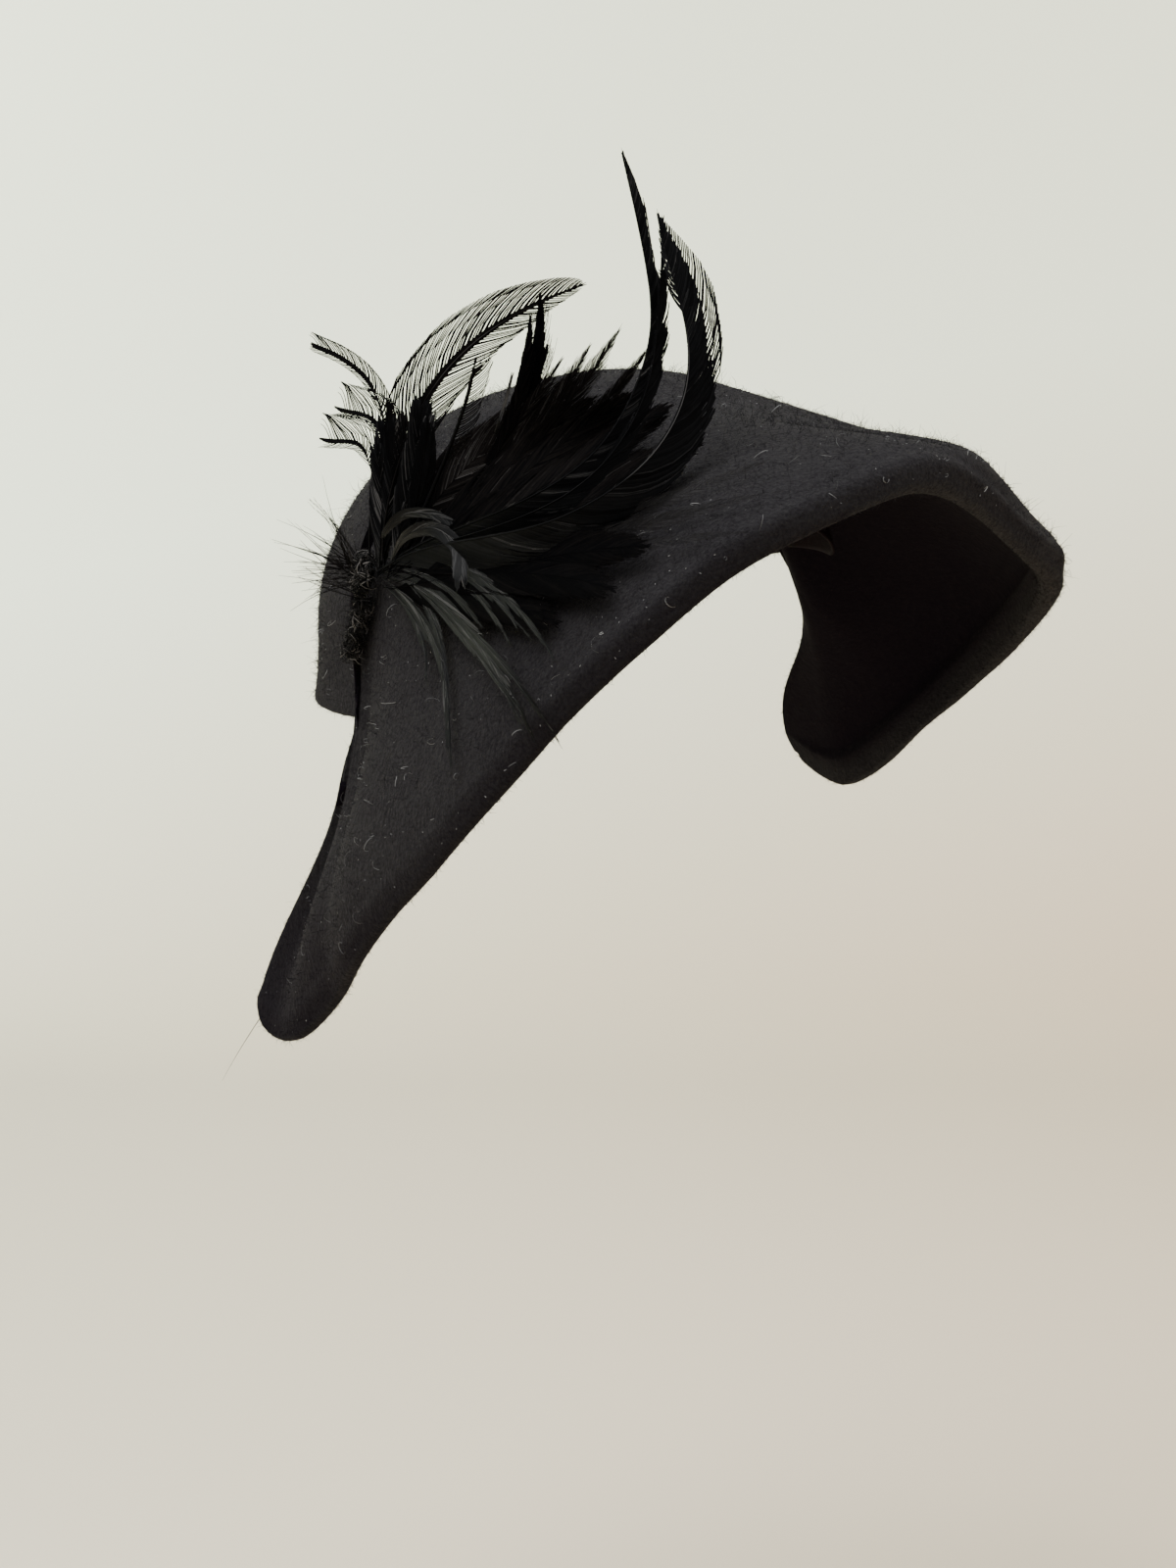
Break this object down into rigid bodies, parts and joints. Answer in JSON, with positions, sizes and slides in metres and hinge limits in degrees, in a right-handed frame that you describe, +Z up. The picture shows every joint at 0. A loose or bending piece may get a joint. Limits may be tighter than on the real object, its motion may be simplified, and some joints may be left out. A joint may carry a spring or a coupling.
{
  "type": "tilt hat",
  "caption": "Black felt tilt hat: round crown, wide draped brim falling into side flaps past open notches, ribbed inner head band and a feather spray on the right.",
  "frame": {"origin": "middle of the head opening, in the plane of the crown's rim", "axes": "+Z up as worn on an upright head, the wearer faces -Y and the wearer's right is -X; the hat is rolled 17.7 degrees down to the wearer's right about the Y axis"},
  "size_m": [0.2275, 0.2438, 0.2471],
  "materials": {
    "felt": "black wool felt with a short nap, fuzz and lint",
    "ribbon": "black ribbed ribbon, dull",
    "feather": "black cock feathers with a soft sheen",
    "quill": "bound quill ends with loose fluff, dull black"
  },
  "bodies": {
    "root": {"felt_hood": "felt", "head_band": "ribbon", "feather_spray": "feather", "quill_stub": "quill"}
  },
  "joints": []
}
